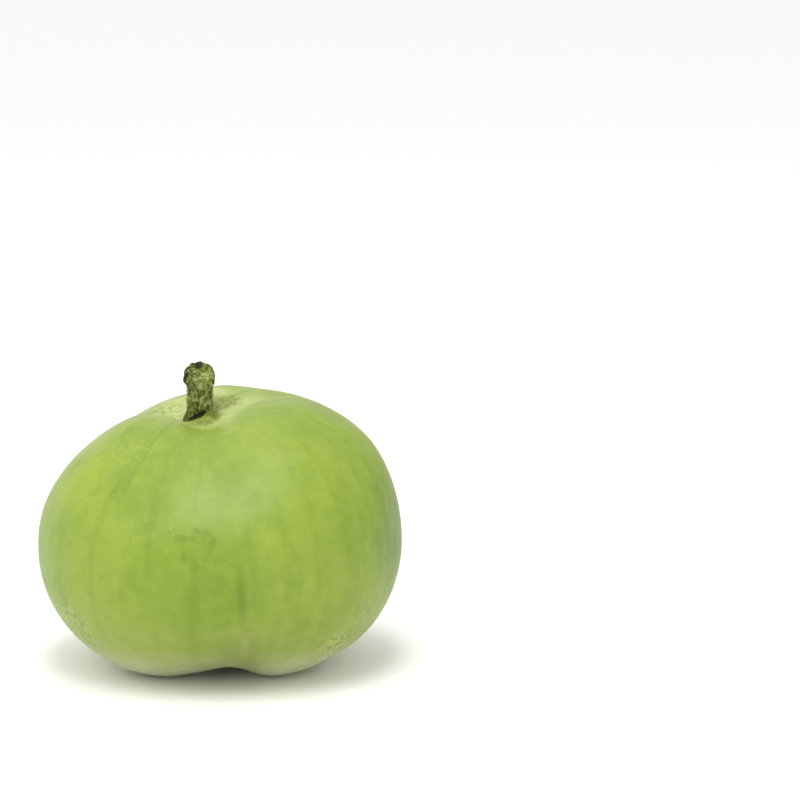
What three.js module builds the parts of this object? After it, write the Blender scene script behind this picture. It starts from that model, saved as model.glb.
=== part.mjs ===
// Round gourd: a squat green fruit with three soft lobes, standing on them with its stalk still on.
// Millimetres, +Z up, front along -Y, origin on the surface it rests on, under the middle of its box.
import * as THREE from 'three';
import { mergeVertices } from 'three/addons/utils/BufferGeometryUtils.js';

// Driving sizes of the fruit. Heights are taken from its widest level.
const halfWidth = 35.8;
const halfDepth = 35.0;
const crownRise = 28.8;
const keelDrop = 26.9;
const standHeight = 24.7; // the widest level over the resting surface
const fullness = 2.17; // the exponent of the outline: 2 is an ellipse, more is squarer
const endsStart = 0.9; // the sine of latitude from which a lobe counts as fully at its end
const leanSide = 5; // degrees that the crown rises to the right
const leanBack = 6.5; // degrees that the crown rises to the back
const leanFrom = -4; // the lean sets in between these heights
const leanFull = 24;

// The dished ends: a shallow cavity round the stalk, a basin with the flower's corky scar below
const cavityDepth = 4.2;
const cavityReach = 10;
const basinDepth = 5.5;
const basinReach = 9.5;
const stalkShift = -3.7; // the stalk end grew off centre, to the left
const stalkShiftReach = 15;
const seatHeight = 48.5; // the level spot that the stalk's foot grows from
const seatInner = 3.8;
const seatOuter = 6.5;
const scarRadius = 2.4;
const scarRise = 0.45;
const scarBreadth = 0.7;

// Three lobes, and the folds between and within them. A fold has its bearing in degrees from +X, its depth
// below and above the widest level, and half its breadth near the ends. A negative depth is a low swelling,
// where two lobes have grown together on the crown.
const lobeSwell = 0.9;
const lobeBearing = 91;
const swellAtWaist = 0.35; // as a share of the swell at the ends
const foldSpread = 0.1; // how much wider a fold is for each millimetre out from the axis
const foldAtWaist = 0.09;
const plainInner = 2; // the ends are plain inside this radius, and take their full shape outside the next
const plainOuter = 9;
const folds = [
  { bearing: -83, below: 1.35, above: 0.3, breadth: 3.0 },
  { bearing: 28, below: 1.2, above: 0.1, breadth: 3.2 },
  { bearing: 36, below: 0.0, above: -0.7, breadth: 5.0 },
  { bearing: 146, below: 1.3, above: 0.3, breadth: 3.2 },
  { bearing: -104, below: 0.8, above: 0.0, breadth: 5.0 },
  { bearing: -71, below: 0.35, above: 0.1, breadth: 1.4 },
  { bearing: -140, below: 0.15, above: 0.4, breadth: 2.6 },
  { bearing: -30, below: 0.35, above: 0.3, breadth: 2.4 },
  { bearing: 64, below: 0.45, above: 0.1, breadth: 2.4 },
  { bearing: 108, below: 0.5, above: 0.35, breadth: 2.6 },
  { bearing: 178, below: 0.2, above: 0.3, breadth: 2.2 },
];
const lumpHeight = 0.22;
const endLumpTurn = 1.1; // radians
const waistLumpTurn = 0.4;

const fruitSegments = 84;
const fruitRings = 48;

// Driving sizes of the stalk, up from its foot: a flared foot, a five-ridged neck, a swollen cut head
const footRadius = 3.0;
const neckRadius = 2.45;
const headRadius = 3.0;
const stalkHeight = 10.1;
const headHeight = 8.1;
const pithRadius = 1.9;
const pithSink = 0.7;
const cutTilt = 28; // degrees that the cut end faces down to the front
const ridgeCount = 5;
const ridgeDepth = 0.06; // as a share of the radius
const ridgeTwist = 0.05; // radians for each millimetre of height
const ridgesFrom = 1.5; // height at which the ridges stand out in full
const tiltFrom = 5.5; // height at which the side starts to follow the tilt of the cut
const stalkLean = 0.3; // how far the head stands to the right of the foot
const stalkBow = 0.2; // how far the neck bends to the right of that line
const stalkSegments = 40;

const skin = new THREE.MeshStandardMaterial({ color: 0x9fb84f, roughness: 0.45, metalness: 0 });
const bark = new THREE.MeshStandardMaterial({ color: 0x5f6e2e, roughness: 0.85, metalness: 0 });

const { degToRad, lerp, smoothstep } = THREE.MathUtils;

// A closed skin of revolution about +Z, from an outline of radius and height, with its seam closed
function turned(outline, segments) {
  const lathe = new THREE.LatheGeometry(outline, segments).rotateX(Math.PI / 2);
  lathe.deleteAttribute('normal');
  lathe.deleteAttribute('uv');
  return mergeVertices(lathe);
}

// Moves every vertex to where shape(radius, bearing, height) puts it
function reshaped(geometry, shape) {
  const places = geometry.getAttribute('position');
  for (let i = 0; i < places.count; i += 1) {
    const radius = Math.hypot(places.getX(i), places.getY(i));
    const bearing = Math.atan2(places.getY(i), places.getX(i));
    const moved = shape(radius, bearing, places.getZ(i));
    places.setXYZ(i, moved.x, moved.y, moved.z);
  }
  geometry.computeVertexNormals();
  return geometry;
}

// The fruit's plain outline at a latitude from -90 to 90 degrees
function outlinePoint(latitude) {
  const rise = latitude > 0 ? crownRise : -keelDrop;
  const radius = halfWidth * Math.abs(Math.cos(latitude)) ** (2 / fullness);
  return new THREE.Vector2(radius, rise * Math.abs(Math.sin(latitude)) ** (2 / fullness));
}

// How far the folds, lobes and lumps draw the skin in towards the fruit's middle
function drawnIn(radius, bearing, above, below) {
  let depth = 0;
  for (const fold of folds) {
    const turn = bearing - degToRad(fold.bearing);
    if (Math.cos(turn) <= 0) continue;
    const across = (radius * Math.sin(turn)) / (fold.breadth + foldSpread * radius);
    const here = fold.below * (below + foldAtWaist) + fold.above * above;
    depth += here * Math.exp(-across * across);
  }
  const swell = lobeSwell * Math.cos(3 * (bearing - degToRad(lobeBearing)));
  depth -= swell * lerp(swellAtWaist, 1, Math.max(above, below));
  const endLumps = Math.sin(2 * bearing + endLumpTurn) * (above - below);
  const waistLumps = Math.sin(5 * bearing + waistLumpTurn) * (1 - above - below);
  depth -= lumpHeight * (endLumps + waistLumps);
  return depth * smoothstep(radius, plainInner, plainOuter);
}

// Where a point of the plain outline lies on the grown, leaning and seated fruit
function fruitPlace(radius, bearing, height) {
  const top = height > 0;
  const share = Math.min(1, Math.abs(height) / (top ? crownRise : keelDrop));
  const sine = share ** (fullness / 2);
  const end = smoothstep(sine, 0, endsStart);
  const dished = top
    ? height - cavityDepth * Math.exp(-((radius / cavityReach) ** 2))
    : height + basinDepth * Math.exp(-((radius / basinReach) ** 2));
  const scar = top ? 0 : scarRise * Math.exp(-(((radius - scarRadius) / scarBreadth) ** 2));

  const place = new THREE.Vector3(
    radius * Math.cos(bearing),
    radius * Math.sin(bearing) * (halfDepth / halfWidth),
    dished - scar,
  );
  const depth = drawnIn(radius, bearing, top ? end : 0, top ? 0 : end);
  place.multiplyScalar(1 - depth / place.length());

  if (top) place.x += stalkShift * Math.exp(-((radius / stalkShiftReach) ** 2));
  const rise = Math.tan(degToRad(leanSide)) * place.x + Math.tan(degToRad(leanBack)) * place.y;
  place.z += rise * smoothstep(place.z, leanFrom, leanFull);
  place.z = Math.max(0, place.z + standHeight);
  if (top) place.z = lerp(seatHeight, place.z, smoothstep(radius, seatInner, seatOuter));
  return place;
}

function fruitGeometry() {
  const outline = [];
  for (let ring = 0; ring <= fruitRings; ring += 1) {
    const along = (2 * ring) / fruitRings - 1;
    outline.push(outlinePoint((Math.PI / 2) * Math.sin((Math.PI / 2) * along)));
  }
  outline[0].x = 0;
  outline[fruitRings].x = 0;
  return reshaped(turned(outline, fruitSegments), fruitPlace);
}

// The stalk's side from foot to rim, then over the rim and down to the sunken pith
function stalkOutline() {
  const side = new THREE.SplineCurve([
    new THREE.Vector2(footRadius, 0),
    new THREE.Vector2(neckRadius + 0.25, 1.4),
    new THREE.Vector2(neckRadius, 3.4),
    new THREE.Vector2(neckRadius, 6.0),
    new THREE.Vector2(headRadius - 0.05, headHeight - 0.9),
    new THREE.Vector2(headRadius, headHeight + 0.4),
    new THREE.Vector2(headRadius - 0.35, stalkHeight - 0.45),
    new THREE.Vector2(pithRadius + 0.35, stalkHeight),
  ]);
  return [
    new THREE.Vector2(0, 0),
    new THREE.Vector2(footRadius / 2, 0),
    ...side.getPoints(18),
    new THREE.Vector2(pithRadius, stalkHeight - pithSink),
    new THREE.Vector2(pithRadius / 2, stalkHeight - pithSink - 0.1),
    new THREE.Vector2(0, stalkHeight - pithSink),
  ];
}

// Ridges the stalk's side, bends it and tilts its cut end
function stalkPlace(radius, bearing, height) {
  const ridge = Math.cos(ridgeCount * (bearing + ridgeTwist * height));
  const onSide = smoothstep(radius, pithRadius, neckRadius);
  const ridged = radius * (1 + ridgeDepth * ridge * onSide * smoothstep(height, 0, ridgesFrom));
  const up = height / stalkHeight;
  const x = ridged * Math.cos(bearing);
  const y = ridged * Math.sin(bearing);
  const tilt = Math.tan(degToRad(cutTilt)) * smoothstep(height, tiltFrom, headHeight);
  return new THREE.Vector3(x + stalkLean * up + stalkBow * Math.sin(Math.PI * up), y, height + tilt * y);
}

const fruit = new THREE.Mesh(fruitGeometry(), skin);
fruit.name = 'fruit';

const stalk = new THREE.Mesh(reshaped(turned(stalkOutline(), stalkSegments), stalkPlace), bark);
stalk.name = 'stalk';
stalk.position.set(stalkShift, 0, seatHeight);

const gourd = new THREE.Group();
gourd.add(fruit, stalk);

// The middle of the box goes over the origin
const middle = new THREE.Box3().setFromObject(gourd).getCenter(new THREE.Vector3());
gourd.position.set(-middle.x, -middle.y, 0);

export default gourd;
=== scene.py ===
import math
import random

import bmesh
import bpy
from mathutils import Matrix, Vector, noise


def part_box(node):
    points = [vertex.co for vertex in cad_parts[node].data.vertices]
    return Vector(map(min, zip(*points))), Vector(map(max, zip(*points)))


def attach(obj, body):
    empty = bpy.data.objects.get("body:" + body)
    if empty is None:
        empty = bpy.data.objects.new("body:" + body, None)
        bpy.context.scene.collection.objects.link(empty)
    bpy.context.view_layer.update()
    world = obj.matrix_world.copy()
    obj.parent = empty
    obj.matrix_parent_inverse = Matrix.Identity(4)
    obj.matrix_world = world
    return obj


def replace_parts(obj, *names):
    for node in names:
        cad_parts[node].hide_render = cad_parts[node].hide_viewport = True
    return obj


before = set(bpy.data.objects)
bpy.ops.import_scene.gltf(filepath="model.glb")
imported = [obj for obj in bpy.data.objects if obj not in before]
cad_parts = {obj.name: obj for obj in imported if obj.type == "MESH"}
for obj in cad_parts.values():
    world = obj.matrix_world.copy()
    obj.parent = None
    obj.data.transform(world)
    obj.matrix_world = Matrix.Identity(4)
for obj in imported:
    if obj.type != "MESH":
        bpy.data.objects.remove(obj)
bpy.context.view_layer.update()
scene = bpy.context.scene
mm = 0.001

# The fruit's body
# One juicy body that grew from a flower with three seed chambers, so it swells in three soft lobes. Folds run
# from the stalk's cavity to the flower's scar underneath, and the lobes' ends are flattened where it stands.
half_width, half_depth = 35.8, 35.0  # millimetres here, and metres once the mesh is shaped
crown_rise, keel_drop = 28.8, 26.9  # from its widest level
stand_height = 24.7  # its widest level over the floor
fullness = 2.17  # the exponent of the outline: 2 is an ellipse, more is squarer
ends_start = 0.9  # the sine of latitude from which a lobe counts as fully at its end
lean_side, lean_back = math.radians(5), math.radians(6.5)  # how the crown rises to the right and to the back
lean_from, lean_full = -4, 24  # the lean sets in between these heights
cavity_depth, cavity_reach = 4.2, 10
basin_depth, basin_reach = 5.5, 9.5
scar_radius, scar_rise, scar_breadth, scar_pit = 2.4, 0.45, 0.7, 0.6
stalk_shift, stalk_shift_reach = -3.7, 15  # the stalk end grew off centre, to the left
seat_height, seat_inner, seat_outer = 48.5, 2.6, 6.5  # the level spot that the stalk grows from
lobe_count, lobe_swell, lobe_bearing = 3, 0.9, math.radians(91)
swell_at_waist = 0.35  # as a share of the swell at the ends
plain_inner, plain_outer = 2, 9  # the ends are plain inside the first, in full shape past the second
end_lumps, waist_lumps, lump_height = 2, 5, 0.22
end_lump_turn, waist_lump_turn = 1.1, 0.4
fold_spread = 0.1  # how much wider a fold is for each millimetre out from the axis
fold_at_waist = 0.09
folds = [  # bearing in degrees from +X, depth below and above the waist, half breadth near the ends
    (-83, 1.35, 0.3, 3.0),
    (28, 1.2, 0.1, 3.2),
    (36, 0.0, -0.7, 5.0),  # a low swelling, where two lobes have grown together
    (146, 1.3, 0.3, 3.2),
    (-104, 0.8, 0.0, 5.0),
    (-71, 0.35, 0.1, 1.4),
    (-140, 0.15, 0.4, 2.6),
    (-30, 0.35, 0.3, 2.4),
    (64, 0.45, 0.1, 2.4),
    (108, 0.5, 0.35, 2.6),
    (178, 0.2, 0.3, 2.2),
]
collar_rise, collar_bearing = 2.2, math.radians(-25)  # flesh that creeps up the stalk, most on its right
collar_radius, collar_breadth, collar_sharpness = 2.6, 2.8, 1.3
collar_unevenness, collar_lump = 0.3, 1.6
top_puckers, end_puckers, pucker_depth = 17, 23, 0.1
pucker_wander, wander_pace = 2.5, 3
pucker_run = 4, 6, 9, 17  # the radii where they start, stand in full, fade and end
root_run = 3, 4.5, 6, 12
roots = [  # where the stalk's ribs run out on the fruit: bearing in degrees, height, half breadth
    (-6, 0.4, 0.5), (66, 0.2, 0.6), (140, 0.24, 0.5), (205, 0.16, 0.5), (-75, 0.1, 0.6),
]
dip_depth, dip_breadth = 0.16, 11
dip_shift = Vector((3.1, 0, 7.7))  # moves the noise to where the dips lie
dent_depth, dent_breadth = 0.035, 3.2
fruit_rings, fruit_segments = 290, 320
even_rings = 0.3  # how evenly the rings lie: 1 is evenly, and less draws them closer to the ends


def smooth(low, high, x):
    share = min(1.0, max(0.0, (x - low) / (high - low)))
    return share * share * (3 - 2 * share)


def between(x, start, full, fade, end):
    """1 from full to fade, and 0 before the start and after the end."""
    return smooth(start, full, x) * smooth(end, fade, x)


def hill(distance, reach):
    return math.exp(-((distance / reach) ** 2))


def spot_at(radius, bearing, height):
    return Vector((radius * math.cos(bearing), radius * math.sin(bearing), height))


def on_line(radius, bearing, degrees, breadth):
    """1 on a line that runs out from the axis at a bearing in degrees, and less to either side of it."""
    turn = bearing - math.radians(degrees)
    return hill(radius * math.sin(turn), breadth) if math.cos(turn) > 0 else 0.0


def fold_depth(radius, bearing, above, below):
    depth = 0.0
    for degrees, depth_below, depth_above, breadth in folds:
        here = depth_below * (below + fold_at_waist) + depth_above * above
        depth += here * on_line(radius, bearing, degrees, breadth + fold_spread * radius)
    return depth


def collar_height(bearing):
    return collar_rise * (0.5 + 0.5 * math.cos(bearing - collar_bearing)) ** collar_sharpness


def fruit_place(radius, bearing, height):
    """Where a point of the plain outline lies on the grown fruit, its fold's depth, the collar's height."""
    top = height > 0
    share = min(1.0, abs(height) / (crown_rise if top else keel_drop))
    end = smooth(0, ends_start, share ** (fullness / 2))
    above, below = (end, 0.0) if top else (0.0, end)
    if top:
        height -= cavity_depth * hill(radius, cavity_reach)
    else:
        height += basin_depth * hill(radius, basin_reach) + scar_pit * hill(radius, scar_breadth)
        height -= scar_rise * hill(radius - scar_radius, scar_breadth)
    place = Vector((radius * math.cos(bearing), radius * math.sin(bearing) * half_depth / half_width, height))

    away_from_ends = smooth(plain_inner, plain_outer, radius)
    fold = fold_depth(radius, bearing, above, below) * away_from_ends
    swell = lobe_swell * math.cos(lobe_count * (bearing - lobe_bearing))
    swell *= swell_at_waist + (1 - swell_at_waist) * end
    lumps = math.sin(end_lumps * bearing + end_lump_turn) * (above - below)
    lumps += math.sin(waist_lumps * bearing + waist_lump_turn) * (1 - end)
    depth = fold - (swell + lump_height * lumps) * away_from_ends

    # Fine puckers that the skin draws round its two ends, and short low roots of the stalk's ribs
    wander = pucker_wander * noise.noise(spot_at(wander_pace, bearing, height))
    pucker = math.cos((top_puckers if top else end_puckers) * bearing + wander) ** 2
    depth += pucker_depth * pucker * between(radius, *pucker_run)
    if top:
        root = sum(rise * on_line(radius, bearing, degrees, breadth) for degrees, rise, breadth in roots)
        depth -= root * between(radius, *root_run)
    # Slow dips and rises a thumb wide, and small dents a few millimetres wide
    depth += dip_depth * noise.noise(place / dip_breadth + dip_shift)
    depth += dent_depth * noise.noise(place / dent_breadth)
    place *= 1 - depth / place.length

    if top:
        place.x += stalk_shift * hill(radius, stalk_shift_reach)
    rise = math.tan(lean_side) * place.x + math.tan(lean_back) * place.y
    place.z += rise * smooth(lean_from, lean_full, place.z)
    place.z = max(0.0, place.z + stand_height)
    collar = 0.0
    if top:
        collar = collar_height(bearing) * hill(max(0.0, radius - collar_radius), collar_breadth)
        place.z = seat_height + (place.z - seat_height) * smooth(seat_inner, seat_outer, radius)
        place.z += collar * (1 + collar_unevenness * noise.noise(place / collar_lump))
    return place, fold, collar


def shift_to(node, mesh):
    """How far a mesh in millimetres moves sideways, so that its middle is its CAD node's middle."""
    low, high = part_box(node)
    middle = (low + high) / (2 * mm)
    xs, ys = [v.co.x for v in mesh.verts], [v.co.y for v in mesh.verts]
    return Vector((middle.x - (min(xs) + max(xs)) / 2, middle.y - (min(ys) + max(ys)) / 2, 0))


def turned(outline, segments):
    """A closed mesh spun about the upright axis, from (radius, height) points that start and end on it."""
    mesh = bmesh.new()
    points = [mesh.verts.new((radius, 0, height)) for radius, height in outline]
    for start, end in zip(points, points[1:]):
        mesh.edges.new((start, end))
    bmesh.ops.spin(
        mesh, geom=mesh.verts[:] + mesh.edges[:], cent=(0, 0, 0), axis=(0, 0, 1),
        angle=2 * math.pi, steps=segments, use_merge=True,
    )
    bmesh.ops.remove_doubles(mesh, verts=mesh.verts, dist=0.0001)
    bmesh.ops.recalc_face_normals(mesh, faces=mesh.faces)
    return mesh


def finished(name, mesh, material):
    """Makes an object of a shaped mesh in millimetres, with the given material, under the root body."""
    bmesh.ops.scale(mesh, vec=(mm, mm, mm), verts=mesh.verts)
    data = bpy.data.meshes.new(name)
    mesh.to_mesh(data)
    mesh.free()
    data.shade_smooth()
    data.materials.append(material)
    piece = bpy.data.objects.new(name, data)
    scene.collection.objects.link(piece)
    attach(piece, "root")
    return piece


fruit_outline = []
for ring in range(fruit_rings + 1):
    along = 2 * ring / fruit_rings - 1
    closer_at_ends = math.sin(math.pi / 2 * along)
    latitude = math.pi / 2 * (even_rings * along + (1 - even_rings) * closer_at_ends)
    rise = crown_rise if latitude > 0 else -keel_drop
    radius = 0 if ring in (0, fruit_rings) else half_width * math.cos(latitude) ** (2 / fullness)
    fruit_outline.append((radius, rise * abs(math.sin(latitude)) ** (2 / fullness)))
body = turned(fruit_outline, fruit_segments)

# The skin's pattern follows how it grew, so each vertex keeps its bearing and its way along from end to end,
# and how deep in a fold and how far up the collar it is
grown = body.verts.layers.float_vector.new("grown")
marks = body.verts.layers.float_vector.new("marks")
for vertex in body.verts:
    radius, height = math.hypot(vertex.co.x, vertex.co.y), vertex.co.z
    bearing = math.atan2(vertex.co.y, vertex.co.x)
    vertex[grown] = spot_at(1, bearing, height / half_width)
    vertex.co, fold, collar = fruit_place(radius, bearing, height)
    vertex[marks] = Vector((fold, collar, 0))
to_middle = shift_to("fruit", body)
bmesh.ops.translate(body, vec=to_middle, verts=body.verts)
stalk_foot = Vector((stalk_shift, 0, seat_height)) + to_middle
flower_scar = Vector((0, 0, stand_height - keel_drop + basin_depth)) + to_middle


# The fruit's skin
# Cucurbit skin: a thin waxy cuticle over green rind, grown and not made. It gives the eye a soft satin light,
# cloudy patches of yellower and deeper green, fine pale specks, and a paler dish round the stalk. Its colour
# also holds painted shade in the folds, on the right flank and round the stalk's foot, a painted shadow of
# the stalk, a painted highlight on a low rib, and painted floor light towards the bottom.
def colour(code):
    """A linear colour from an sRGB hex code."""
    channels = [int(code[i:i + 2], 16) / 255 for i in (1, 3, 5)]
    return [c / 12.92 if c <= 0.04045 else ((c + 0.055) / 1.055) ** 2.4 for c in channels] + [1]


def add(tree, kind, sockets=None, **settings):
    """Adds a node. sockets maps an input to its value, or to the output that feeds it."""
    made = tree.nodes.new(kind)
    for name, value in settings.items():
        setattr(made, name, value)
    for name, value in (sockets or {}).items():
        if isinstance(value, bpy.types.NodeSocket):
            tree.links.new(value, made.inputs[name])
        else:
            made.inputs[name].default_value = value
    return made


def new_material(name):
    material = bpy.data.materials.new(name)
    material.use_nodes = True
    material.node_tree.nodes.clear()
    return material, material.node_tree


def layered(tree, base, layers):
    """A base colour under layers. Each has its blend, a value, its bounds, a strength and a colour."""
    mixed = colour(base)
    for blend, value, low, high, strength, code in layers:
        share = add(
            tree, "ShaderNodeMapRange",
            {"Value": value, "From Min": low, "From Max": high, "To Max": strength},
            interpolation_type="SMOOTHSTEP",
        ).outputs[0]
        mixed = add(
            tree, "ShaderNodeMix", {0: share, 6: mixed, 7: colour(code)}, data_type="RGBA", blend_type=blend
        ).outputs[2]
    return mixed


skin, tree = new_material("waxy_green_cucurbit_skin")
place = add(tree, "ShaderNodeTexCoord").outputs["Object"]
growth = add(tree, "ShaderNodeAttribute", attribute_name="grown").outputs["Vector"]
skin_marks = add(tree, "ShaderNodeAttribute", attribute_name="marks").outputs["Vector"]
in_fold, up_collar, _ = add(tree, "ShaderNodeSeparateXYZ", {"Vector": skin_marks}).outputs
level = add(tree, "ShaderNodeSeparateXYZ", {"Vector": place}).outputs["Z"]
# Clouds 21 mm across, down to the pores. Real pores, about 0.2 mm apart, are too fine to show, so they are
# drawn at 0.6 mm.
cloud, mottle, dapple, fleck, pore = [
    add(tree, "ShaderNodeTexNoise", {
        "Vector": add(tree, "ShaderNodeMapping", {"Vector": place, "Location": (shift, 0, 0)}).outputs[0],
        "Scale": 1 / (size * mm), "Detail": detail, "Roughness": 0.55,
    }).outputs[0]
    for size, detail, shift in ((21, 2, 0.12), (8, 3, 0.47), (2.6, 3, 0), (1, 2, 0.31), (0.6, 2, 0))
]
# Streaks about 4 mm and hairlines about 1 mm apart, drawn out from end to end. Their scale is a count over
# the fruit's half width, which is 1 in the attribute that they read.
streak, hairline = [
    add(tree, "ShaderNodeTexNoise", {
        "Vector": add(tree, "ShaderNodeMapping", {"Vector": growth, "Scale": (1, 1, stretch)}).outputs[0],
        "Scale": count, "Detail": 2,
    }).outputs[0]
    for stretch, count in ((0.12, 9), (0.05, 34))
]
# Pale specks, one to a cell of 2.3 or 1.2 mm, some of them too small to be seen
specks = []
for spacing in (2.3, 1.2):
    cells = add(tree, "ShaderNodeTexVoronoi", {"Vector": place, "Scale": 1 / (spacing * mm)})
    chance_here = add(tree, "ShaderNodeSeparateColor", {0: cells.outputs["Color"]}).outputs[0]
    size_here = add(
        tree, "ShaderNodeMapRange",
        {"Value": chance_here, "From Min": 0.35, "From Max": 1, "To Min": 0.02, "To Max": 0.16},
    ).outputs[0]
    specks.append(add(
        tree, "ShaderNodeMath", {0: size_here, 1: cells.outputs["Distance"]}, operation="SUBTRACT"
    ).outputs[0])

# Places on the skin, pushed about by noise of a size and reach in millimetres, to make patches' edges uneven
pushed = []
for size, reach in ((9, 14), (2.4, 3.4)):
    push = add(
        tree, "ShaderNodeTexNoise", {"Vector": place, "Scale": 1 / (size * mm), "Detail": 2}
    ).outputs["Color"]
    push = add(tree, "ShaderNodeVectorMath", {0: push, 1: (0.5, 0.5, 0.5)}, operation="SUBTRACT").outputs[0]
    push = add(tree, "ShaderNodeVectorMath", {0: push, 3: reach * mm}, operation="SCALE").outputs[0]
    pushed.append(add(tree, "ShaderNodeVectorMath", {0: place, 1: push}, operation="ADD").outputs[0])
wandering, ragged = pushed


def near(tree, source, spot, outer, inner, strength=1):
    """How near the skin is to a spot: 0 outside the outer radius, strength inside the inner one."""
    distance = add(
        tree, "ShaderNodeVectorMath", {0: source, 1: spot * mm}, operation="DISTANCE"
    ).outputs["Value"]
    return add(
        tree, "ShaderNodeMapRange",
        {"Value": distance, "From Min": outer * mm, "From Max": inner * mm, "To Max": strength},
        interpolation_type="SMOOTHSTEP",
    ).outputs[0]


patch = {
    name: near(tree, source, spot, outer, inner)
    for name, source, spot, outer, inner in (
        ("pale dish", wandering, stalk_foot + Vector((1.5, 3.2, 1)), 17.5, 3),
        ("painted stalk shadow", ragged, stalk_foot + Vector((4.2, 5.4, 2.2)), 5, 1.6),
        ("painted foot shade", ragged, stalk_foot + Vector((0.4, -1.5, 0.8)), 5.6, 2.4),
        ("green front", wandering, Vector((-5.5, -34, 23)), 17, 0),
        ("green shoulder", wandering, Vector((-15, -27.5, 37.5)), 10, 2),
        ("yellow shoulder", wandering, Vector((-26, -13, 40)), 10, 1),
        ("deep green flank in painted shade", wandering, Vector((41, -6, 27)), 25, 4),
        ("dark freckles", ragged, Vector((-4.6, -33.8, 31)), 6.5, 3),
        ("crease", place, Vector((3.8, -34.6, 21.5)), 10, 1),
        ("notch", place, Vector((4.5, -28.5, 8.5)), 8, 2),
        ("veined underside", place, flower_scar, 17, 4),
        ("round scar", ragged, flower_scar, 6, 3.4),
        ("cork", ragged, flower_scar, 3.2, 2.5),
        ("pit", place, flower_scar, 1.2, 0.5),
    )
}
# Scuffs low on both sides, and flecks on the left shoulder and round the stalk
flecked = 0
for spot, outer, strength in (
    (Vector((22, -21, 7.6)), 6, 1),
    (Vector((27, -20, 13.5)), 5, 0.5),
    (Vector((-28, -17, 12)), 9, 0.8),
    (Vector((-17.1, -15.3, 45.2)), 7, 0.25),
    (Vector((-12, 5, 49.4)), 8, 0.9),
    (stalk_foot + Vector((5, 3.5, 2.5)), 6, 0.9),
):
    here = near(tree, ragged, spot, outer, outer / 3, strength)
    flecked = add(tree, "ShaderNodeMath", {0: flecked, 1: here}, operation="MAXIMUM").outputs[0]

# The middle line of the front fold, drawn as a fine crease of painted shade, and the low rib that splits it
# lower down, drawn as a pale line of painted highlight
across_fold, rib_offset = (0.994, 0.108, 0.06), 0.02
from_fold = add(
    tree, "ShaderNodeVectorMath", {0: growth, 1: across_fold}, operation="DOT_PRODUCT"
).outputs["Value"]
off_crease, off_rib = [
    add(tree, "ShaderNodeMath", {
        0: add(tree, "ShaderNodeMath", {0: from_fold, 1: offset}, operation="SUBTRACT").outputs[0],
    }, operation="ABSOLUTE").outputs[0]
    for offset in (0, rib_offset)
]

skin_colour = layered(tree, "#80962D", [
    ("MIX", cloud, 0.38, 0.66, 0.6, "#8C9F33"),
    ("MIX", patch["green front"], 0, 1, 0.5, "#6E8E14"),
    ("MIX", patch["green shoulder"], 0, 1, 0.4, "#728C18"),
    ("MIX", patch["yellow shoulder"], 0, 1, 0.5, "#93A60C"),
    # Deeper green and darker on the right flank: painted shade over a deeper green skin
    ("MIX", patch["deep green flank in painted shade"], 0, 1, 0.75, "#5E7604"),
    ("MIX", patch["pale dish"], 0, 1, 0.85, "#B4BC7C"),
    # Paler and greyer towards the bottom: painted floor light, and lowest down the pale spot where it lay
    ("MIX", level, 20 * mm, 6 * mm, 0.4, "#9CA35C"),
    ("MIX", level, 10 * mm, 0.5 * mm, 0.85, "#CDD0B2"),
    ("MULTIPLY", mottle, 0.44, 0.72, 0.36, "#D4E250"),
    ("MULTIPLY", streak, 0.48, 0.72, 0.3, "#CFDC80"),
    ("MULTIPLY", dapple, 0.46, 0.76, 0.24, "#C8D680"),
    ("MIX", dapple, 0.46, 0.3, 0.14, "#9DAE3A"),
    ("MULTIPLY", dapple, 0.46, 0.66, patch["dark freckles"], "#E8EEAE"),
    ("MIX", hairline, 0.56, 0.66, patch["veined underside"], "#A6AF5D"),
    ("MIX", hairline, 0.42, 0.34, patch["veined underside"], "#68801F"),
    # Painted shade in the folds, a painted dark crease down the front fold, a painted highlight on its rib
    ("MULTIPLY", in_fold, 0.5, 1.5, 0.5, "#D2D6BC"),
    ("MULTIPLY", off_crease, 0.045, 0.002, patch["crease"], "#E6E69A"),
    ("MIX", off_rib, 0.045, 0.01, patch["notch"], "#8F9850"),
    ("MIX", specks[0], 0, 0.09, 0.26, "#A9B664"),
    ("MIX", specks[1], 0, 0.08, 0.18, "#A9B664"),
    # Painted shadow that the stalk casts back and to the right across its hollow
    ("MIX", patch["painted stalk shadow"], 0, 1, 0.8, "#6E7A10"),
    # Painted shade in the crevice round the stalk's foot, olive and speckled
    ("MIX", patch["painted foot shade"], 0, 1, 0.75, "#6E7814"),
    # Darker olive high up the collar, where the flesh meets the stalk: painted shade at the join
    ("MIX", up_collar, 1.5, 2.2, 0.8, "#545C08"),
    ("MIX", dapple, 0.42, 0.62, patch["painted foot shade"], "#5C650C"),
    ("MULTIPLY", fleck, 0.46, 0.34, flecked, "#D2DAB8"),
    ("ADD", fleck, 0.5, 0.58, flecked, "#4C4C44"),
    ("MIX", patch["round scar"], 0, 1, 0.8, "#B9C183"),
    ("MIX", patch["cork"], 0, 1, 0.95, "#5E5A2C"),
    ("MIX", fleck, 0.48, 0.6, patch["cork"], "#857C4A"),
    ("MIX", patch["pit"], 0, 1, 1, "#1E1C0C"),
])
peel = add(tree, "ShaderNodeBump", {"Height": dapple, "Distance": 0.1 * mm, "Strength": 0.5})
pores = add(tree, "ShaderNodeBump", {"Height": pore, "Distance": 0.02 * mm, "Normal": peel.outputs[0]})
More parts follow.
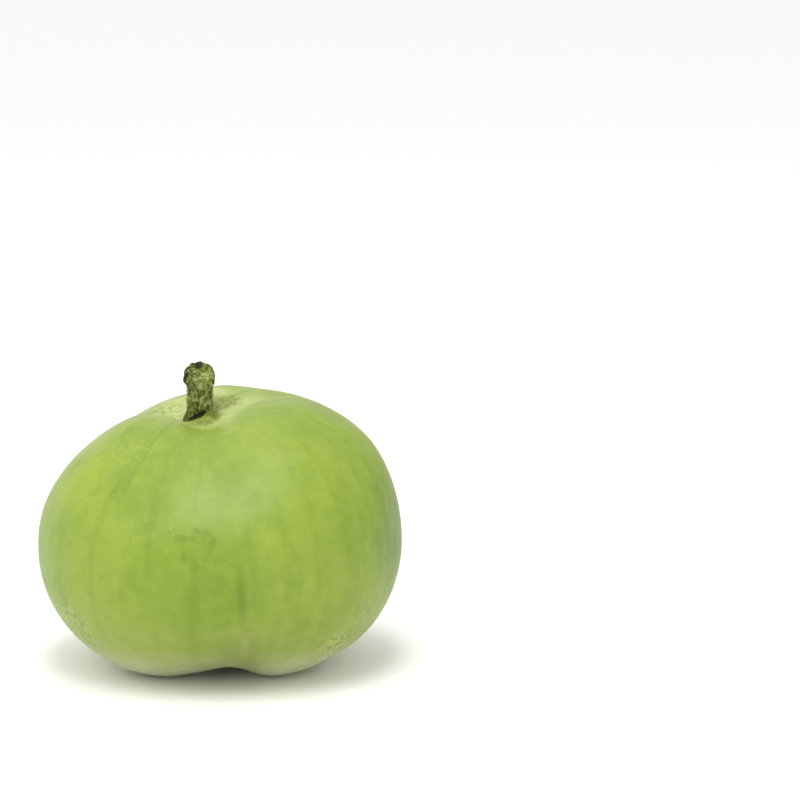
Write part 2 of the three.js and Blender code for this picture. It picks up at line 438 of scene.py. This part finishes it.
# The wax is rubbed unevenly, and gone from the skin round the stalk's foot, where shade is painted
waxed = add(
    tree, "ShaderNodeMapRange",
    {"Value": mottle, "From Min": 0.3, "From Max": 0.7, "To Min": 0.4, "To Max": 0.46},
).outputs[0]
dulled = add(
    tree, "ShaderNodeMath", {0: patch["painted foot shade"], 1: 0.3, 2: waxed}, operation="MULTIPLY_ADD"
).outputs[0]
shader = add(tree, "ShaderNodeBsdfPrincipled", {
    "Base Color": skin_colour,
    "Roughness": dulled,
    "Normal": pores.outputs[0],
    "IOR": 1.45,
    "Subsurface Weight": 0.12,
    "Subsurface Radius": (1.0, 1.0, 0.4),
    "Subsurface Scale": 1.2 * mm,
})
add(tree, "ShaderNodeOutputMaterial", {"Surface": shader.outputs[0]})

fruit = finished("fruit_body", body, skin)
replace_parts(fruit, "fruit")

# The stalk
# The woody end of the shoot that the fruit hung on, cut through with a knife and left to dry. Five ribs run
# up it from the flesh to a swollen head, and the slanting cut shows paler pith inside a dark, knobbly rim.
foot_radius, neck_radius, head_radius, lip_radius = 3.0, 2.45, 3.0, 2.3
stalk_height, head_height, foot_sink = 10.1, 8.5, 1.0
flare_reach = 1.8
swell_from = head_height - 1.0  # where the neck starts to swell
head_from = head_height - 1.6  # where the ribs start to give way to the knobs
pith_radius, pith_sink = 1.9, 0.7
pith_floor_radius = pith_radius - 0.3
pith_lump_height, pith_lump, pith_hole_depth, pith_hole = 0.14, 0.5, 0.35, 0.5
pale_pith, pale_pith_reach = Vector((0.9, -0.7)), 1.3  # where the cut shows it pale
cut_tilt, tilt_from, tilt_full = math.radians(28), 5.5, 8.1
stalk_lean = 0.1  # how far the head stands to the right of the foot
rib_twist = 0.05  # radians for each millimetre of height
rib_sink, ribs_left_on_head = 0.14, 0.6
ribs = [  # bearing in degrees, height, half breadth in radians
    (0, 0.3, 0.3), (75, 0.2, 0.26), (150, 0.3, 0.32), (218, 0.34, 0.34), (290, 0.24, 0.28),
]
fibre_height, fibre_count, fibre_draw = 0.07, 5, 0.25
warts = [(0.13, 1.0), (0.06, 0.45)]  # height and size
nubs = [  # the rim's knobs: bearing in degrees, height, half breadth in radians
    (88, 0.38, 0.32), (126, 0.3, 0.16), (160, 0.42, 0.17),
    (200, 0.42, 0.18), (30, 0.25, 0.45), (280, 0.1, 0.3),
]
nub_ripple, ripple_count, ripple_pattern = 0.18, 2.2, 4
nub_overhang, nub_rise, nub_reach = 0.75, 0.8, 0.9
nub_middle = head_height + 0.3
toe_bearing, toe_length, toe_breadth, toe_height = 207, 0.9, 0.5, 1.6
groove_depth, groove_middle, groove_reach = 0.22, 0.4, 0.45  # where it leaves the flesh
dark_back, pale_front, rim_part = 97, -50, 0.6  # bearings on the rim in degrees, half breadth in radians
rim_shade, nub_shade, paling, back_rim_from = 0.45, 1.6, 0.8, 1.1
# The near black shade painted in the crease where the stalk meets the flesh
crease_shade_middle, crease_shade_reach, least_crease_shade = 0.35, 0.6, 0.2
crease_shade_bearing, crease_shade_inner, crease_shade_outer = -95, 0.45, 0.8  # in degrees, and radians to either side
side_rows, rim_rows, pith_rows, stalk_segments = 84, 12, 12, 128


def swing(bearing, degrees):
    """The signed angle from a bearing given in degrees, the shorter way round."""
    return math.remainder(bearing - math.radians(degrees), 2 * math.pi)


def stalk_place(radius, bearing, height):
    """Where a point of the plain stalk lies when grown, and how much it is pith, rim and painted shade."""
    plain_radius, spot = radius, spot_at(radius, bearing, height)
    side = smooth(pith_radius, neck_radius, radius)
    head = smooth(head_from, head_height, height)
    turn = bearing + rib_twist * height
    rib = sum(rise * hill(swing(turn, degrees), breadth) for degrees, rise, breadth in ribs)
    nub = sum(rise * hill(swing(bearing, degrees), breadth) for degrees, rise, breadth in nubs)
    nub += nub_ripple * noise.noise(spot_at(ripple_count, bearing, ripple_pattern))
    toe = toe_length * hill(swing(bearing, toe_bearing), toe_breadth) * hill(height, toe_height)
    fibre = fibre_height * noise.noise(spot_at(fibre_count, turn, fibre_draw * height))
    wart = sum(rise * noise.noise(spot / size) for rise, size in warts)
    over_flesh = height - collar_height(bearing)
    groove = groove_depth * hill(over_flesh - groove_middle, groove_reach)

    grown_out = rib - rib_sink + fibre + wart + toe - groove
    grown_out *= 1 - (1 - ribs_left_on_head) * head
    radius += side * (grown_out + nub_overhang * nub * hill(height - nub_middle, nub_reach))
    height += side * head * nub * nub_rise
    pith = head * smooth(lip_radius, pith_radius, plain_radius)
    hole = pith_hole_depth * hill(plain_radius, pith_hole)
    height += pith * (pith_lump_height * noise.noise(spot / pith_lump) - hole)

    to_right = stalk_lean * height / stalk_height
    place = spot_at(radius, bearing, height)
    place += Vector((to_right, 0, math.tan(cut_tilt) * smooth(tilt_from, tilt_full, height) * place.y))

    # The rim is darkest on its knobs and its back, the pith palest at the front right, and the shade painted
    # in the crease over the flesh darkest under the front
    rim = side * min(1.0, rim_shade + nub_shade * max(0.0, nub))
    rim *= 1 - paling * hill(swing(bearing, pale_front), rim_part)
    back_rim = smooth(back_rim_from, pith_radius, plain_radius) * hill(swing(bearing, dark_back), rim_part)
    pith *= hill((spot.xy - pale_pith).length, pale_pith_reach)
    in_front = smooth(crease_shade_outer, crease_shade_inner, abs(swing(bearing, crease_shade_bearing)))
    crease_shade = side * hill(over_flesh - crease_shade_middle, crease_shade_reach) * (least_crease_shade + (1 - least_crease_shade) * in_front)
    return place, Vector((pith, head * max(rim, back_rim), crease_shade))


stalk_outline = [(0, -foot_sink), (foot_radius / 2, -foot_sink)]
for row in range(side_rows + 1):
    height = (head_height + foot_sink) * row / side_rows - foot_sink
    flare = (foot_radius - neck_radius) * hill(max(0.0, height), flare_reach)
    swelling = (head_radius - neck_radius) * smooth(swell_from, head_height, height)
    stalk_outline.append((neck_radius + flare + swelling, height))
for row in range(1, rim_rows + 1):
    angle = math.pi / 2 * row / rim_rows
    radius = lip_radius + (head_radius - lip_radius) * math.cos(angle)
    stalk_outline.append((radius, head_height + (stalk_height - head_height) * math.sin(angle)))
for row in range(1, pith_rows + 1):
    radius = lip_radius * (1 - row / pith_rows)
    sunk = pith_sink * smooth(lip_radius, pith_floor_radius, radius)
    stalk_outline.append((radius, stalk_height - sunk))
stem = turned(stalk_outline, stalk_segments)

fibre = stem.verts.layers.float_vector.new("fibre")
marks = stem.verts.layers.float_vector.new("marks")
for vertex in stem.verts:
    radius, height = math.hypot(vertex.co.x, vertex.co.y), vertex.co.z
    bearing = math.atan2(vertex.co.y, vertex.co.x)
    vertex[fibre] = spot_at(1, bearing + rib_twist * height, height / neck_radius)
    vertex.co, vertex[marks] = stalk_place(radius, bearing, height)
bmesh.ops.translate(stem, vec=stalk_foot, verts=stem.verts)

# Peduncle bark: dried green rind over wood fibres, rough and dull. It gives the eye lengthwise pale fibres
# and dark flecks on olive, and straw green pith on the cut. Its colour also holds near black painted shade in
# the crease where it meets the flesh, and painted shade low down in the fruit's hollow.
bark, tree = new_material("dried_green_peduncle_bark")
place = add(tree, "ShaderNodeTexCoord").outputs["Object"]
along_fibre = add(tree, "ShaderNodeAttribute", attribute_name="fibre").outputs["Vector"]
bark_marks = add(tree, "ShaderNodeAttribute", attribute_name="marks").outputs["Vector"]
pith, rim, crease_shade = add(tree, "ShaderNodeSeparateXYZ", {"Vector": bark_marks}).outputs
level = add(tree, "ShaderNodeSeparateXYZ", {"Vector": place}).outputs["Z"]
# Fibres about half a millimetre apart: 5 to the neck's radius, which is 1 in the attribute that they read
fibre_streak = add(tree, "ShaderNodeTexNoise", {
    "Vector": add(tree, "ShaderNodeMapping", {"Vector": along_fibre, "Scale": (1, 1, 0.3)}).outputs[0],
    "Scale": 5, "Detail": 3,
}).outputs[0]
# Flecks just under a millimetre long, and the rind's tooth, drawn at 0.25 mm because the real one is too
# fine to show
dark_fleck, pale_fleck, tooth = [
    add(tree, "ShaderNodeTexNoise", {
        "Vector": add(
            tree, "ShaderNodeMapping", {"Vector": place, "Location": (shift, 0, 0), "Scale": (1, 1, 0.7)}
        ).outputs[0],
        "Scale": 1 / (size * mm), "Detail": 2,
    }).outputs[0]
    for shift, size in ((0.34, 0.8), (0.12, 0.95), (0.9, 0.25))
]
bark_colour = layered(tree, "#6B7434", [
    ("MIX", fibre_streak, 0.44, 0.62, 0.5, "#7A833E"),
    ("MIX", dark_fleck, 0.45, 0.6, 0.85, "#3A3F12"),
    ("MIX", pale_fleck, 0.5, 0.64, 0.75, "#A0A665"),
    # Darker low on the stalk, where it stands in the fruit's hollow: painted shade
    ("MULTIPLY", level, (stalk_foot.z + 4.5) * mm, (stalk_foot.z + 1) * mm, 0.6, "#8C9270"),
    ("MIX", rim, 0.3, 0.9, 0.92, "#15180A"),
    ("MIX", pith, 0.2, 0.8, 0.95, "#9CA762"),
    ("MIX", dark_fleck, 0.52, 0.6, pith, "#66712E"),
    # Near black painted shade in the crease where the stalk meets the flesh
    ("MIX", crease_shade, 0.2, 0.8, 0.95, "#101401"),
])
fibres_raised = add(tree, "ShaderNodeBump", {"Height": fibre_streak, "Distance": 0.12 * mm})
rough_rind = add(
    tree, "ShaderNodeBump", {"Height": tooth, "Distance": 0.05 * mm, "Normal": fibres_raised.outputs[0]}
)
shader = add(tree, "ShaderNodeBsdfPrincipled", {
    "Base Color": bark_colour,
    "Roughness": 0.8,
    "Normal": rough_rind.outputs[0],
    "IOR": 1.45,
    "Specular IOR Level": 0.2,
})
add(tree, "ShaderNodeOutputMaterial", {"Surface": shader.outputs[0]})

# The stalk's hairs
# Short stiff bristles that the young shoot grew all over its rind. Most have rubbed off, and the rest are
# dry. Each is a slim pointed cone with its root sunk in the rind.
hair_count, hair_sink, hair_taper = 420, 0.08, 5
hair_lengths, hair_thicknesses, hair_sway = (0.25, 0.8), (0.025, 0.045), 0.45
bare_foot, most_pith = 2.6, 0.05  # none grow lower down, nor on the cut
chance = random.Random(11)
stem.normal_update()
rind = [v for v in stem.verts if v[marks].x < most_pith and v.co.z > stalk_foot.z + bare_foot]
bristles = bmesh.new()
for root in chance.sample(rind, hair_count):
    length, thickness = chance.uniform(*hair_lengths), chance.uniform(*hair_thicknesses)
    sway = Vector([chance.uniform(-hair_sway, hair_sway) for _ in range(3)])
    direction = (root.normal + sway).normalized()
    middle = root.co + direction * (length / 2 - hair_sink)
    upright = direction.to_track_quat("Z", "Y").to_matrix().to_4x4()
    bmesh.ops.create_cone(
        bristles, cap_ends=True, cap_tris=True, segments=4, radius1=thickness, radius2=thickness / hair_taper,
        depth=length, matrix=Matrix.Translation(middle) @ upright,
    )

# Dry plant hair: a colourless, slightly glossy wall that shows as pale straw against the rind
hair, tree = new_material("dry_pale_plant_hair")
place = add(tree, "ShaderNodeTexCoord").outputs["Object"]
dryness = add(tree, "ShaderNodeTexNoise", {"Vector": place, "Scale": 1 / (1.5 * mm)}).outputs[0]
shader = add(tree, "ShaderNodeBsdfPrincipled", {
    "Base Color": layered(tree, "#7F8A4C", [("MIX", dryness, 0.4, 0.6, 1, "#B2BA86")]),
    "Roughness": 0.5,
    "IOR": 1.5,
})
add(tree, "ShaderNodeOutputMaterial", {"Surface": shader.outputs[0]})
finished("stalk_hairs", bristles, hair)
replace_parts(finished("stalk_rind", stem, bark), "stalk")

# The floor
# A sheet of matt white paper board, far wider than the picture, laid level and loose under the fruit. It
# lies a hair lower than the fruit's flat spots, so that no two faces share a plane.
floor_half_width, floor_drop = 30, 0.05 * mm
floor_mesh = bmesh.new()
bmesh.ops.create_grid(floor_mesh, x_segments=1, y_segments=1, size=floor_half_width)
bmesh.ops.translate(floor_mesh, vec=(0, 0, -floor_drop), verts=floor_mesh.verts)
floor_data = bpy.data.meshes.new("floor")
floor_mesh.to_mesh(floor_data)
floor_mesh.free()
floor = bpy.data.objects.new("floor", floor_data)
scene.collection.objects.link(floor)
# Uncoated paper board: flat white, with next to no gloss, so it shows only the fruit's soft shadow
board, tree = new_material("matt_white_paper_board")
shader = add(tree, "ShaderNodeBsdfPrincipled", {
    "Base Color": colour("#F6F6F4"),
    "Roughness": 0.9,
    "Specular IOR Level": 0.1,
})
add(tree, "ShaderNodeOutputMaterial", {"Surface": shader.outputs[0]})
floor_data.materials.append(board)

# The light
# A white studio tent gives even light from all round, a little less of it from the right and behind. A soft
# panel overhead in front and a wider one from the left add the broad sheen.
dim_side = Vector((0.8, 0.6, 0.1)).normalized()
full_light, dim_light = 1.1, 0.7
world = bpy.data.worlds.new("white_tent")
scene.world = world
world.use_nodes = True
tree = world.node_tree
direction = add(tree, "ShaderNodeTexCoord").outputs["Generated"]
towards_dim = add(tree, "ShaderNodeVectorMath", {0: direction, 1: dim_side}, operation="DOT_PRODUCT")
tent_light = add(
    tree, "ShaderNodeMapRange",
    {"Value": towards_dim.outputs["Value"],
     "From Min": 0.3, "From Max": 1, "To Min": full_light, "To Max": dim_light},
    interpolation_type="SMOOTHSTEP",
).outputs[0]
tree.links.new(tent_light, tree.nodes["Background"].inputs["Strength"])
tree.nodes["Background"].inputs["Color"].default_value = (1, 1, 1, 1)
fruit_middle = Vector((0, 0, 26 * mm))
panels = [  # name, bearing and height angle seen from the fruit, distance, width, length, watts
    ("front_panel", -95, 69, 0.9, 0.28, 0.7, 3.5),
    ("left_panel", -140, 50, 0.9, 0.6, 0.6, 1.1),
]
for name, bearing, rise, distance, width, length, watts in panels:
    lamp = bpy.data.lights.new(name, "AREA")
    lamp.shape = "ELLIPSE"
    lamp.size, lamp.size_y = width, length
    lamp.energy = watts
    panel = bpy.data.objects.new(name, lamp)
    scene.collection.objects.link(panel)
    level_distance = math.cos(math.radians(rise))
    towards = spot_at(level_distance, math.radians(bearing), math.sin(math.radians(rise)))
    panel.location = fruit_middle + towards * distance
    panel.rotation_euler = towards.to_track_quat("Z", "Y").to_euler()

# The camera
# It looks down on the fruit from 12 degrees, 55 cm away, with the fruit low and left in a square picture.
# The lens is set by the picture's scale at the fruit, and the aim by where the fruit's middle falls in it.
picture_side, pixels_per_metre = 800, 5040
fruit_pixel = (219, 523.5)
camera_distance, camera_rise = 0.55, math.radians(12)
aimed_at = Vector((0, 0, 27.5 * mm))
lens_data = bpy.data.cameras.new("camera")
lens_data.sensor_width = 36
lens_data.lens = pixels_per_metre * camera_distance / picture_side * lens_data.sensor_width
lens_data.clip_start = 0.01
lens_data.dof.use_dof = False
camera = bpy.data.objects.new("camera", lens_data)
scene.collection.objects.link(camera)
camera.location = aimed_at + camera_distance * Vector((0, -math.cos(camera_rise), math.sin(camera_rise)))
right = Vector((1, 0, 0))
up = Vector((0, math.sin(camera_rise), math.cos(camera_rise)))
off_right = (picture_side / 2 - fruit_pixel[0]) / pixels_per_metre
off_up = (fruit_pixel[1] - picture_side / 2) / pixels_per_metre
picture_middle = aimed_at + off_right * right + off_up * up
camera.rotation_euler = (picture_middle - camera.location).to_track_quat("-Z", "Y").to_euler()
scene.camera = camera
scene.view_settings.view_transform = "Standard"
scene.cycles.use_denoising = True
